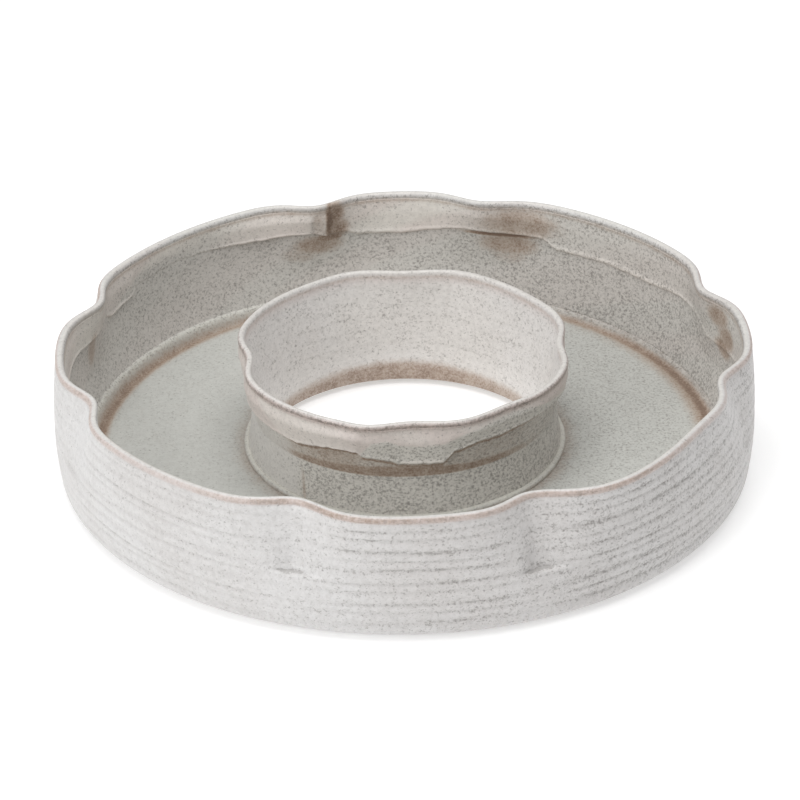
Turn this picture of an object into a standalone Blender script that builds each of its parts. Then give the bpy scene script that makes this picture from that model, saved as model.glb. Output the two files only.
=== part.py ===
"""Ring-shaped stoneware server for chips and dip.

An outer wall and an inner collar stand on a flat ring floor, and the middle is open right through.
The potter forms each ring of clay by itself and lutes the rings together while they are leather
hard: the wall with its folded-in rim band, the floor, the collar with its folded-out rim band, a
coil pressed into each inside corner, and two turned foot rings.  Thumb pinches push the wall and
the collar inwards.  Lengths are in metres, +Z is up, and the dish stands on z = 0, centred on the
vertical axis.
"""

import bpy
from math import atan2, cos, degrees, exp, pi, radians, sin

# Driving dimensions -------------------------------------------------------------------------------

SEAM = 0.0003               # clearance left between two rings of clay that are luted together
BAND_SEAM = 0.0006          # the same behind a folded band, where both faces twist at the pinches

BELLY_RADIUS = 0.170        # widest line of the outer wall
BELLY_HEIGHT = 0.026
WALL_HEIGHT = 0.064         # top of the outer rim
RIM_INSET = 0.0045          # belly line to the middle of the rim
RIM_HALF_WIDTH = 0.0022     # the rim is a half-round of this radius
CORNER_RADIUS = 0.006       # rounding from the wall to the underside
CORNER_INSET = 0.0014       # belly line to the top of that rounding
WALL_BASE_HEIGHT = 0.0012   # lowest line of the wall, clear of the table
WALL_FOOT_THICKNESS = 0.0155  # belly line to the seam between wall and floor

FOOT_HEIGHT = 0.0020        # foot rings
FOOT_CHAMFER = 0.0008
OUTER_FOOT_WIDTH = 0.0088
OUTER_FOOT_INSET = 0.0120   # belly line to the outside of the outer foot ring
INNER_FOOT_WIDTH = 0.0070
INNER_FOOT_INSET = 0.0020   # collar seam to the inside of the inner foot ring

FLOOR_THICKNESS = 0.0063
WALL_COIL_WIDTH = 0.0033    # coil in the corner between floor and wall
WALL_COIL_HEIGHT = 0.0044
COLLAR_COIL_WIDTH = 0.0040  # coil in the corner between floor and collar
COLLAR_COIL_HEIGHT = 0.0034

HOLE_RADIUS = 0.0716        # open middle
COLLAR_THICKNESS = 0.0037
COLLAR_HEIGHT = 0.061       # top of the inner rim
COLLAR_NECK_HEIGHT = 0.030  # the collar is straight below this height and flares above it
COLLAR_FLARE = 0.0073       # how far the rim stands out over the neck
COLLAR_RIM_HALF_WIDTH = 0.0017
COLLAR_EDGE_ROUNDING = 0.0012

WALL_BAND_THICKNESS = 0.0015    # clay folded over at the rim and pressed flat
WALL_BAND_DEPTH = 0.020         # rim top to the band's lower edge
WALL_BAND_TOP = 0.0045          # rim top to the band's upper edge
COLLAR_BAND_THICKNESS = 0.0015
COLLAR_BAND_DEPTH = 0.019
COLLAR_BAND_TOP = 0.0042
BAND_FEATHER = 0.0005           # what is left of a band's thickness at its upper edge

WALL_STEPS = 96                 # facets round the wall
COLLAR_STEPS = 72               # facets round the collar and the foot rings

# Where fingers pressed the clay: angle and half-width in degrees, inward depth at the rim.
# A negative depth is a swelling that the clay made beside a pinch.
WALL_PRESSES = (
    (18.0, 0.0095, 4.5), (75.0, 0.0090, 4.5), (106.5, 0.0100, 4.0), (164.0, 0.0095, 4.5),
    (201.0, 0.0095, 4.5), (252.0, 0.0095, 4.5), (290.5, 0.0095, 4.5), (344.0, 0.0095, 4.5),
    (328.0, 0.0042, 8.0), (305.0, -0.0018, 6.0), (268.0, -0.0014, 8.0),
)
COLLAR_PRESSES = (
    (0.0, 0.0049, 8.0), (90.0, 0.0024, 8.0), (187.0, 0.0059, 8.0), (273.0, 0.0035, 8.0),
    (38.0, 0.0011, 8.0), (307.0, 0.0027, 8.0),
    (69.0, -0.0016, 7.0), (109.0, -0.0016, 7.0), (257.0, -0.0016, 5.0),
)
# The torn lower edge of a band: waves round the ring as (count, height, phase in degrees).
WALL_BAND_WAVES = ((3, 0.0014, 200.0), (7, 0.0009, 20.0))
COLLAR_BAND_WAVES = ((2, 0.0018, 30.0), (5, 0.0009, 80.0))

# Values that follow from them ---------------------------------------------------------------------

UNDERSIDE = FOOT_HEIGHT + SEAM
FLOOR_TOP = UNDERSIDE + FLOOR_THICKNESS
RIM_RADIUS = BELLY_RADIUS - RIM_INSET
RIM_CENTRE_HEIGHT = WALL_HEIGHT - RIM_HALF_WIDTH
WALL_SEAM_RADIUS = BELLY_RADIUS - WALL_FOOT_THICKNESS
WALL_COIL_TOP = FLOOR_TOP + SEAM + WALL_COIL_HEIGHT
OUTER_FOOT_RADIUS = BELLY_RADIUS - OUTER_FOOT_INSET
COLLAR_SEAM_RADIUS = HOLE_RADIUS + COLLAR_THICKNESS
COLLAR_RIM_CENTRE_HEIGHT = COLLAR_HEIGHT - COLLAR_RIM_HALF_WIDTH
COLLAR_RIM_RADIUS = HOLE_RADIUS + COLLAR_THICKNESS / 2 + COLLAR_FLARE
INNER_FOOT_RADIUS = COLLAR_SEAM_RADIUS + INNER_FOOT_INSET + INNER_FOOT_WIDTH


# Faces of the two standing rings, as radius at a height -------------------------------------------

def rise(z, low, high):
    """0 at or below low, 1 at or above high, and straight between."""
    return min(max((z - low) / (high - low), 0.0), 1.0)


def wall_outer_radius(z):
    """Outside of the wall: vertical at the belly line, drawn in above and below it."""
    if z >= BELLY_HEIGHT:
        inset = RIM_INSET - RIM_HALF_WIDTH
        return BELLY_RADIUS - inset * rise(z, BELLY_HEIGHT, RIM_CENTRE_HEIGHT) ** 2
    corner_top = WALL_BASE_HEIGHT + CORNER_RADIUS
    return BELLY_RADIUS - CORNER_INSET * (1 - rise(z, corner_top, BELLY_HEIGHT)) ** 2


def wall_inner_radius(z):
    """Inside of the wall: leans out from the coil and is nearly upright towards the rim."""
    rim = RIM_RADIUS - RIM_HALF_WIDTH
    return rim - (rim - WALL_SEAM_RADIUS) * (1 - rise(z, WALL_COIL_TOP, RIM_CENTRE_HEIGHT)) ** 2.5


def collar_flare(z):
    return rise(z, COLLAR_NECK_HEIGHT, COLLAR_RIM_CENTRE_HEIGHT) ** 1.5


def collar_outer_radius(z):
    rim = COLLAR_RIM_RADIUS + COLLAR_RIM_HALF_WIDTH
    return COLLAR_SEAM_RADIUS + (rim - COLLAR_SEAM_RADIUS) * collar_flare(z)


def collar_inner_radius(z):
    rim = COLLAR_RIM_RADIUS - COLLAR_RIM_HALF_WIDTH
    return HOLE_RADIUS + (rim - HOLE_RADIUS) * collar_flare(z)


# Hand work: pinches and torn edges ----------------------------------------------------------------

def press_depth(angle, presses):
    """Inward move at the rim, from every press that reaches this angle in degrees."""
    depth = 0.0
    for centre, amount, half_width in presses:
        away = (angle - centre + 180.0) % 360.0 - 180.0
        depth += amount * exp(-0.5 * (away / half_width) ** 2)
    return depth


def wave_height(angle, waves):
    return sum(height * sin(count * radians(angle) + radians(phase)) for count, height, phase in waves)


def press_wall(angle, radius, z):
    """The pinches fade from the rim down to the belly line."""
    return radius - press_depth(angle, WALL_PRESSES) * rise(z, BELLY_HEIGHT, WALL_HEIGHT), z


def press_collar(angle, radius, z):
    """The pinches fade from the rim down to the neck."""
    return radius - press_depth(angle, COLLAR_PRESSES) * rise(z, COLLAR_NECK_HEIGHT, COLLAR_HEIGHT), z


def torn_band(face, top, bottom, waves, press):
    """A hand move for a band: its lower edge waves up and down along the face it lies on."""
    def move(angle, radius, z):
        torn = z + wave_height(angle, waves) * (1 - rise(z, bottom, top))
        return press(angle, radius + face(torn) - face(z), torn)
    return move


# Profiles: closed outlines of (radius, height), running down their outer side ---------------------

def heights(high, low, count):
    """Heights from high to low, both ends included."""
    return [high + (low - high) * i / (count - 1) for i in range(count)]


def arc(centre_radius, centre_height, radius, start, end, count):
    """Points on an arc in the profile plane; angles in degrees from +X, both ends included."""
    turns = [radians(start + (end - start) * i / (count - 1)) for i in range(count)]
    return [(centre_radius + radius * cos(t), centre_height + radius * sin(t)) for t in turns]


def outer_wall_profile():
    corner_top = WALL_BASE_HEIGHT + CORNER_RADIUS
    corner_radius = BELLY_RADIUS - CORNER_INSET - CORNER_RADIUS
    rim = arc(RIM_RADIUS, RIM_CENTRE_HEIGHT, RIM_HALF_WIDTH, 180, 0, 5)
    upper = [(wall_outer_radius(z), z) for z in heights(RIM_CENTRE_HEIGHT, BELLY_HEIGHT, 4)[1:]]
    corner = arc(corner_radius, corner_top, CORNER_RADIUS, 0, -90, 4)
    underside = [(OUTER_FOOT_RADIUS + SEAM, UNDERSIDE), (WALL_SEAM_RADIUS, UNDERSIDE)]
    inside = [(wall_inner_radius(z), z) for z in heights(WALL_COIL_TOP, RIM_CENTRE_HEIGHT, 8)[:-1]]
    return rim + upper + corner + underside + inside


def collar_profile():
    rim = arc(COLLAR_RIM_RADIUS, COLLAR_RIM_CENTRE_HEIGHT, COLLAR_RIM_HALF_WIDTH, 180, 0, 5)
    flare = heights(COLLAR_RIM_CENTRE_HEIGHT, COLLAR_NECK_HEIGHT, 5)
    outside = [(collar_outer_radius(z), z) for z in flare[1:]] + [(COLLAR_SEAM_RADIUS, UNDERSIDE)]
    edge = arc(HOLE_RADIUS + COLLAR_EDGE_ROUNDING, UNDERSIDE + COLLAR_EDGE_ROUNDING,
               COLLAR_EDGE_ROUNDING, 270, 180, 3)
    inside = [(collar_inner_radius(z), z) for z in reversed(flare[1:])]
    return rim + outside + edge + inside


def floor_profile():
    outer = WALL_SEAM_RADIUS - SEAM
    inner = COLLAR_SEAM_RADIUS + SEAM
    return [(outer, FLOOR_TOP), (outer, UNDERSIDE), (inner, UNDERSIDE), (inner, FLOOR_TOP)]


def wall_band_profile():
    """Lies on the inside of the wall, so its hidden face is the outer one."""
    rows = heights(WALL_HEIGHT - WALL_BAND_TOP, WALL_HEIGHT - WALL_BAND_DEPTH, 3)
    hidden = [(wall_inner_radius(z) - BAND_SEAM, z) for z in rows]
    thickness = heights(WALL_BAND_THICKNESS, BAND_FEATHER, 3)
    seen = [(wall_inner_radius(z) - BAND_SEAM - t, z) for z, t in zip(reversed(rows), thickness)]
    return hidden + seen


def collar_band_profile():
    """Lies on the outside of the collar, so its hidden face is the inner one."""
    rows = heights(COLLAR_HEIGHT - COLLAR_BAND_TOP, COLLAR_HEIGHT - COLLAR_BAND_DEPTH, 3)
    thickness = heights(BAND_FEATHER, COLLAR_BAND_THICKNESS, 3)
    seen = [(collar_outer_radius(z) + BAND_SEAM + t, z) for z, t in zip(rows, thickness)]
    hidden = [(collar_outer_radius(z) + BAND_SEAM, z) for z in reversed(rows)]
    return seen + hidden


def wall_coil_profile():
    outer = WALL_SEAM_RADIUS - SEAM
    bottom = FLOOR_TOP + SEAM
    seen = [(outer - WALL_COIL_WIDTH * cos(t), bottom + WALL_COIL_HEIGHT * sin(t))
            for t in (0.0, pi / 6, pi / 3)]
    return [(outer, bottom + WALL_COIL_HEIGHT), (outer, bottom)] + seen


def collar_coil_profile():
    inner = COLLAR_SEAM_RADIUS + SEAM
    bottom = FLOOR_TOP + SEAM
    seen = [(inner + COLLAR_COIL_WIDTH * cos(t), bottom + COLLAR_COIL_HEIGHT * sin(t))
            for t in (pi / 2, pi / 3, pi / 6, 0.0)]
    return seen + [(inner, bottom)]


def foot_profile(outer, width):
    inner = outer - width
    return [(outer, FOOT_HEIGHT), (outer, FOOT_CHAMFER), (outer - FOOT_CHAMFER, 0.0),
            (inner + FOOT_CHAMFER, 0.0), (inner, FOOT_CHAMFER), (inner, FOOT_HEIGHT)]


# Building -----------------------------------------------------------------------------------------

def clear_scene():
    for old in list(bpy.data.objects):
        bpy.data.objects.remove(old, do_unlink=True)


def glaze(name, colour, roughness):
    """Fired clay or glaze, which is never metallic."""
    material = bpy.data.materials.new(name)
    material.use_nodes = True
    shader = material.node_tree.nodes["Principled BSDF"]
    shader.inputs["Base Color"].default_value = (*colour, 1.0)
    shader.inputs["Roughness"].default_value = roughness
    shader.inputs["Metallic"].default_value = 0.0
    return material


def turned(name, profile, steps, material, collection):
    """Turn a closed profile about the vertical axis."""
    outline = bpy.data.meshes.new(name)
    corners = [(radius, 0.0, z) for radius, z in profile]
    edges = [(i, (i + 1) % len(corners)) for i in range(len(corners))]
    outline.from_pydata(corners, edges, [])
    piece = bpy.data.objects.new(name, outline)
    collection.objects.link(piece)
    outline.materials.append(material)
    screw = piece.modifiers.new("turn", 'SCREW')
    screw.axis = 'Z'
    screw.angle = 2 * pi
    screw.steps = steps
    screw.render_steps = steps
    screw.use_merge_vertices = True
    screw.merge_threshold = 0.00001
    screw.use_smooth_shade = True
    return piece


def work_by_hand(piece, move):
    """Fix the turned shape as a mesh and move each of its points by hand."""
    dependency_graph = bpy.context.evaluated_depsgraph_get()
    worked = bpy.data.meshes.new_from_object(piece.evaluated_get(dependency_graph))
    for vertex in worked.vertices:
        x, y, z = vertex.co
        angle = atan2(y, x)
        radius, z = move(degrees(angle), x * cos(angle) + y * sin(angle), z)
        vertex.co = (radius * cos(angle), radius * sin(angle), z)
    worked.shade_smooth()
    worked.set_sharp_from_angle(angle=radians(50))
    outline = piece.data
    piece.modifiers.clear()
    piece.data = worked
    bpy.data.meshes.remove(outline)
    worked.name = piece.name


def build_wall(collection, glazes):
    wall = turned("outer_wall", outer_wall_profile(), WALL_STEPS, glazes["wall"], collection)
    work_by_hand(wall, press_wall)
    band = turned("outer_rim_band", wall_band_profile(), WALL_STEPS, glazes["band"], collection)
    work_by_hand(band, torn_band(wall_inner_radius, WALL_HEIGHT - WALL_BAND_TOP,
                                 WALL_HEIGHT - WALL_BAND_DEPTH, WALL_BAND_WAVES, press_wall))


def build_floor(collection, glazes):
    turned("floor_ring", floor_profile(), WALL_STEPS, glazes["floor"], collection)
    turned("wall_foot_coil", wall_coil_profile(), WALL_STEPS, glazes["coil"], collection)
    turned("collar_foot_coil", collar_coil_profile(), COLLAR_STEPS, glazes["coil"], collection)


def build_collar(collection, glazes):
    collar = turned("inner_collar", collar_profile(), COLLAR_STEPS, glazes["collar"], collection)
    work_by_hand(collar, press_collar)
    band = turned("collar_rim_band", collar_band_profile(), COLLAR_STEPS, glazes["band"], collection)
    work_by_hand(band, torn_band(collar_outer_radius, COLLAR_HEIGHT - COLLAR_BAND_TOP,
                                 COLLAR_HEIGHT - COLLAR_BAND_DEPTH, COLLAR_BAND_WAVES, press_collar))


def build_feet(collection, glazes):
    turned("outer_foot_ring", foot_profile(OUTER_FOOT_RADIUS, OUTER_FOOT_WIDTH), COLLAR_STEPS,
           glazes["bare"], collection)
    turned("inner_foot_ring", foot_profile(INNER_FOOT_RADIUS, INNER_FOOT_WIDTH), COLLAR_STEPS,
           glazes["bare"], collection)


def main():
    clear_scene()
    collection = bpy.data.collections.new("chip_and_dip_server")
    bpy.context.scene.collection.children.link(collection)
    glazes = {
        "wall": glaze("wall_glaze", (0.66, 0.65, 0.64), 0.45),
        "band": glaze("band_glaze", (0.62, 0.57, 0.52), 0.40),
        "floor": glaze("floor_glaze", (0.47, 0.47, 0.44), 0.42),
        "coil": glaze("coil_glaze", (0.56, 0.55, 0.48), 0.42),
        "collar": glaze("collar_glaze", (0.58, 0.56, 0.53), 0.45),
        "bare": glaze("bare_stoneware", (0.50, 0.38, 0.28), 0.85),
    }
    build_wall(collection, glazes)
    build_floor(collection, glazes)
    build_collar(collection, glazes)
    build_feet(collection, glazes)


main()
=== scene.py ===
# %% [markdown]
# # A ring-shaped chip and dip server in stoneware
# The dish is a hand-thrown ring: an outer wall and an inner collar stand on a flat ring floor, and
# the middle is open. The solids that fix its size are loaded first. Each of them is then replaced
# by a fine mesh of the same ring of clay, with its throwing lines, thumb pinches and torn bands,
# and gets a fired glaze made from nodes.

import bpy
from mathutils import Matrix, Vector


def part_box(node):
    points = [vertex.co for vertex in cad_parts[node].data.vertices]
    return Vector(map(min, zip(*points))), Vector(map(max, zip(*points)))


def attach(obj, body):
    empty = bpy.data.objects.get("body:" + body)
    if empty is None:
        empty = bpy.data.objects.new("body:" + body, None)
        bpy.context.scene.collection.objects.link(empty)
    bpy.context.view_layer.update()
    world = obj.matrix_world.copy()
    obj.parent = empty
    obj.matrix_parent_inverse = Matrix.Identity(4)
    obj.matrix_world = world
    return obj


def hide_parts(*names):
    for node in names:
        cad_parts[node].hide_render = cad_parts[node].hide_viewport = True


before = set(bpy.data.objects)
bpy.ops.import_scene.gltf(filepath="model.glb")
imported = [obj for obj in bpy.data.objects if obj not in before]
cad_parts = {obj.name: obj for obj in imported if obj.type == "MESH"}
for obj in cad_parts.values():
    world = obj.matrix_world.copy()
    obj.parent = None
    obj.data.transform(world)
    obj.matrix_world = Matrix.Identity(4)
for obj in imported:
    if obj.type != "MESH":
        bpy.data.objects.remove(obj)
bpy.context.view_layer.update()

from math import cos, pi, radians, sin

import bpy
import numpy as np
from mathutils import Matrix, Vector

print("solids:", ", ".join(sorted(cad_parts)))

# %% [markdown]
# ## Sizes
# Everything that meets another ring takes its place from the solids: how far out a ring reaches
# and where its top and bottom are. Only what the solids leave plain, such as how deep a throwing
# line is, is chosen here. A ring's radii come from its own points, because its box says nothing
# about its hole.

# %% Read radii and heights from the solids
def ring_size(node):
    """Smallest and largest radius, and lowest and highest point, of a solid in metres."""
    points = np.array([vertex.co[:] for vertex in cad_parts[node].data.vertices])
    radii = np.hypot(points[:, 0], points[:, 1])
    return radii.min(), radii.max(), points[:, 2].min(), points[:, 2].max()


MM = 0.001
BELLY_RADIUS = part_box("outer_wall")[1][0]
RIM_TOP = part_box("outer_wall")[1][2]
WALL_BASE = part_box("outer_wall")[0][2]
FLOOR_INNER, FLOOR_OUTER, FLOOR_BOTTOM, FLOOR_TOP = ring_size("floor_ring")
HOLE_RADIUS = ring_size("inner_collar")[0]
COLLAR_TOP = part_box("inner_collar")[1][2]
print(f"widest radius {BELLY_RADIUS:.4f}, rim {RIM_TOP:.4f}, floor {FLOOR_TOP:.4f}")
print(f"hole radius {HOLE_RADIUS:.4f}, collar top {COLLAR_TOP:.4f}")

# %% [markdown]
# ## Rings of clay as a grid of angle by outline
# A thrown ring is an outline turned about the vertical axis. A Screw modifier would turn it, but
# hand work depends on the angle: a pinch is at one place on the rim and a torn edge is never level.
# So the points are laid out as a grid in numpy, one row for each angle and one column for each
# point of the outline. Hand work then only has to move columns and rows of that grid, and paint
# masks, such as how densely iron speckles the glaze, are numbers on the same grid.

# %% Make a mesh from a grid of angle by outline
MASKS = ("iron", "speckle", "cream", "line", "blush", "inside")


def turns_of(steps):
    """Angles in degrees round the ring, as a column."""
    return np.arange(steps).reshape(-1, 1) * (360.0 / steps)


def ring_grid(steps, outline):
    """Angle, radius and height of every point, one row for each angle."""
    angle = turns_of(steps)
    radius = np.array([point[0] for point in outline]).reshape(1, -1) + 0 * angle
    height = np.array([point[1] for point in outline]).reshape(1, -1) + 0 * angle
    return angle + 0 * radius, radius, height


def ring_mesh(name, angle, radius, height, paint):
    """A closed ring from its grid; paint holds the masks that the glaze reads, 0 where not given."""
    turn = np.radians(angle)
    points = np.stack([radius * np.cos(turn), radius * np.sin(turn), height], axis=-1)
    steps, count = radius.shape
    i, j = np.meshgrid(np.arange(steps), np.arange(count), indexing="ij")
    next_i, next_j = (i + 1) % steps, (j + 1) % count
    quads = np.stack([i * count + j, i * count + next_j,
                      next_i * count + next_j, next_i * count + j], axis=-1)
    mesh = bpy.data.meshes.new(name)
    mesh.from_pydata(points.reshape(-1, 3).tolist(), [], quads.reshape(-1, 4).tolist())
    mesh.shade_smooth()
    for mask in MASKS:
        values = paint.get(mask, 0.0) + 0 * radius
        layer = mesh.attributes.new(mask, 'FLOAT', 'POINT')
        layer.data.foreach_set("value", values.reshape(-1).astype(np.float32))
    piece = bpy.data.objects.new(name, mesh)
    bpy.context.scene.collection.objects.link(piece)
    return piece


print("masks on every ring:", ", ".join(MASKS))

# %% [markdown]
# ## Outlines
# An outline is a list of (radius, height) points. It starts on the rim, runs down the outer side,
# under the foot and up the inner side. Straight and curved stretches are sampled finely enough,
# about half a millimetre on the outside, to carry a throwing line as real relief.

# %% Helpers for outlines
def rise(value, low, high):
    """0 at or below low, 1 at or above high, straight between."""
    return np.clip((value - low) / (high - low), 0.0, 1.0)


def ease(value, low, high):
    """As rise, with soft ends."""
    t = rise(value, low, high)
    return t * t * (3 - 2 * t)


def arc(centre, radius, start, end, count):
    """Points on an arc round centre, angles in degrees, both ends included."""
    turns = np.radians(np.linspace(start, end, count))
    return [(centre[0] + radius * cos(t), centre[1] + radius * sin(t)) for t in turns]


def follow(face, start, end, count):
    """Points along a face, whose radius is a function of height, from one height to another."""
    return [(float(face(z)), float(z)) for z in np.linspace(start, end, count)]


print("a quarter round in five points:", [(round(x, 2), round(y, 2)) for x, y in arc((0, 0), 1, 0, 90, 5)])

# %% [markdown]
# ## Hand work
# Three kinds of mark make the dish look thrown by hand. Fingers pinch the rim in, at eight places on
# the wall and four on the collar. Slow waves keep every circle a little out of true. Torn edges
# follow a few heights that are chosen round the ring and joined straight, with a fine ragged wave.

# %% Pinches, slow waves and torn edges
def away_from(angle, centre):
    """Signed angle in degrees from centre."""
    return (angle - centre + 180.0) % 360.0 - 180.0


def pressed_in(angle, presses):
    """Inward move at the rim. Each press is centre, depth in mm, half-width before and after."""
    depth = 0.0
    for centre, amount, before, after in presses:
        away = away_from(angle, centre)
        width = np.where(away < 0, before, after)
        depth = depth + amount * MM * np.exp(-0.5 * (away / width) ** 2)
    return depth


def slow_wave(angle, seed, counts, height_mm):
    """A smooth wave round the ring, made of a few sines with seeded phases."""
    draw = np.random.RandomState(seed)
    total = 0.0
    for count in counts:
        phase = draw.uniform(0, 360)
        total = total + np.sin(np.radians(count * angle + phase)) * draw.uniform(0.4, 1.0)
    return total * height_mm * MM / len(counts)


def round_the_ring(angle, stops):
    """Values chosen at a few angles, joined straight and closed round the ring."""
    angles, values = zip(*stops)
    return np.interp(angle, angles, values, period=360.0)


def torn_wave(angle, seed):
    """The fine ragged wave of a torn edge."""
    return slow_wave(angle, seed, (23, 41, 67, 97), 0.6)


# centre angle, depth in mm, half-width in degrees before and after it; a negative depth swells
WALL_PRESSES = (
    (18.0, 9.5, 4.0, 5.0), (75.0, 8.5, 5.0, 4.5), (106.5, 10.0, 4.5, 4.0), (164.0, 9.5, 4.5, 4.5),
    (201.0, 9.5, 4.5, 4.5), (252.0, 9.5, 4.5, 4.5), (290.5, 9.5, 4.0, 5.0), (344.0, 9.5, 4.5, 4.5),
    (328.0, 4.2, 8.0, 8.0), (305.0, -1.8, 6.0, 6.0), (268.0, -1.4, 8.0, 8.0),
)
COLLAR_PRESSES = (
    (0.0, 4.9, 8.0, 8.0), (90.0, 2.4, 8.0, 8.0), (187.0, 5.9, 8.0, 8.0), (273.0, 3.5, 8.0, 8.0),
    (38.0, 1.1, 8.0, 8.0), (307.0, 2.7, 8.0, 8.0),
    (69.0, -1.6, 7.0, 7.0), (109.0, -1.6, 7.0, 7.0), (257.0, -1.6, 5.0, 5.0),
)
print(len(WALL_PRESSES), "presses on the wall,", len(COLLAR_PRESSES), "on the collar")

# %% [markdown]
# ## The outer wall
# The wall is steep, widest two fifths of the way up and drawn in a little to a rounded rim. Its two
# faces are functions that give the radius at each height, so the folded band and the coil that lie
# on them later can ask for the same face instead of copying its points.

# %% Faces of the outer wall
BELLY_HEIGHT = 26 * MM
RIM_HALF_WIDTH = 2.2 * MM
RIM_MIDDLE = RIM_TOP - RIM_HALF_WIDTH
RIM_RADIUS = BELLY_RADIUS - 4.5 * MM
WALL_SEAM = FLOOR_OUTER + 0.3 * MM
INSIDE_FOOT = FLOOR_TOP + 3.0 * MM
CORNER_RADIUS = 6 * MM
CORNER_TOP = WALL_BASE + CORNER_RADIUS


def wall_outside(z):
    """Radius of the outer face: two parabolas that meet at the belly."""
    above = (RIM_RADIUS + RIM_HALF_WIDTH - BELLY_RADIUS) * rise(z, BELLY_HEIGHT, RIM_MIDDLE) ** 2
    below = -1.4 * MM * (1 - rise(z, CORNER_TOP, BELLY_HEIGHT)) ** 2
    return BELLY_RADIUS - 0.15 * MM + above + below


def wall_inside(z):
    """Radius of the inner face: upright under the rim, curving in to the floor."""
    rim = RIM_RADIUS - RIM_HALF_WIDTH
    return rim - (rim - WALL_SEAM) * (1 - rise(z, INSIDE_FOOT, RIM_MIDDLE)) ** 2.5


def wall_outline():
    """Points, and for each how far it faces out: 1 outside, -1 inside."""
    rim = arc((RIM_RADIUS, RIM_MIDDLE), RIM_HALF_WIDTH, 180, 0, 17)
    outside = follow(wall_outside, RIM_MIDDLE, CORNER_TOP, 112)[1:]
    corner_centre = (outside[-1][0] - CORNER_RADIUS, CORNER_TOP)
    corner = arc(corner_centre, CORNER_RADIUS, 0, -90, 12)[1:]
    under = [(WALL_SEAM + 4 * MM, FLOOR_BOTTOM), (WALL_SEAM, FLOOR_BOTTOM), (WALL_SEAM, FLOOR_TOP)]
    inside = follow(wall_inside, INSIDE_FOOT, RIM_MIDDLE, 80)[:-1]
    facing = list(np.linspace(-1, 1, len(rim))) + [1.0] * (len(outside) + len(corner))
    facing += [-1.0] * (len(under) + len(inside))
    return rim + outside + corner + under + inside, np.array(facing).reshape(1, -1)


def press_wall(angle, radius, z):
    """The wall's pinches and slow waves, strongest at the rim and none below the belly."""
    fade = rise(z, BELLY_HEIGHT, RIM_TOP)
    radius = radius - pressed_in(angle, WALL_PRESSES) * fade ** 1.1
    return radius + slow_wave(angle, 11, (3, 5, 8), 0.5) * fade


print("outline of the wall:", len(wall_outline()[0]), "points")

# %% [markdown]
# ## Throwing lines and thumb hollows
# Outside, the wall keeps the potter's throwing lines, shallow grooves that climb round the pot as
# one long spiral. Each pinch is a thumb hollow that starts at the rim and ends above the belly in a
# small crease. Both could be sculpted, but as functions they give the relief and the paint alike:
# glaze runs thin where the clay dips, which gets grey dashes over a soft painted shade, and each
# crease gets a dark line of painted shade.

# %% Throwing lines and thumb hollows
LINE_SPACING = 5.4 * MM
LINE_WIDTH = 0.85 * MM
LINE_DEPTH = 0.42 * MM
# centre angle, height in mm of the lower end, depth in mm
THUMB_TIPS = ((252.0, 35.5, 3.3), (290.6, 33.0, 4.6), (18.0, 33.0, 1.2), (75.0, 34.0, 1.2),
              (106.5, 33.0, 1.4), (164.0, 34.0, 1.2), (201.0, 33.0, 1.2), (344.0, 33.0, 1.2))


def throwing_line(angle, z, half_width=LINE_WIDTH):
    """0 between lines and 1 in the middle of a groove; the lines climb as a spiral."""
    drift = slow_wave(angle, 3, (2, 3, 5, 9), 1.6) + slow_wave(angle + 2000 * z, 4, (3, 7), 0.9)
    uneven = 0.8 * MM * np.sin(2 * pi * z / (13 * MM) + np.radians(angle))
    turns = (z + drift + uneven) / LINE_SPACING - angle / 360.0
    from_line = np.abs(turns - np.round(turns)) * LINE_SPACING
    pressed = 0.88 + 0.12 * np.sin(2.4 * np.round(turns) + 1.0)
    return pressed * np.exp(-(from_line / half_width) ** 2)


def thumb_tip(angle, z):
    """Depth of the hollow that each thumb left: steep on its left, with a sharp lower lip."""
    depth = 0.0
    for centre, height, amount in THUMB_TIPS:
        away = away_from(angle, centre)
        across = away / np.where(away < 0, 1.5, 3.2)
        up_the_wall = (z / MM - height) / 4.5
        lower_lip = ease(up_the_wall, -1.05, -0.75)
        below = np.exp(-0.5 * np.clip(up_the_wall, -9, 0) ** 2)
        above = 1 - 0.75 * ease(z / MM, height, 60)
        depth = depth + amount * MM * np.exp(-0.5 * across ** 2) * below * above * lower_lip
    return depth


def crease(angle, z, half_width):
    """1 on the small crescent under each thumb hollow, less where the thumb pressed less."""
    mark = 0.0
    for centre, height, amount in THUMB_TIPS:
        across = away_from(angle, centre)
        lip = (height - 3.7) * MM + 0.06 * MM * across ** 2 + 0.25 * MM * np.sin(2.1 * across)
        line = np.exp(-((z - lip) / half_width) ** 2)
        mark = mark + np.exp(-(across / 2.9) ** 4) * line * min(1.0, amount / 4.0)
    return mark


print(f"{(RIM_TOP - CORNER_TOP) / LINE_SPACING:.0f} throwing lines,", len(THUMB_TIPS), "thumb hollows")
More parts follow.
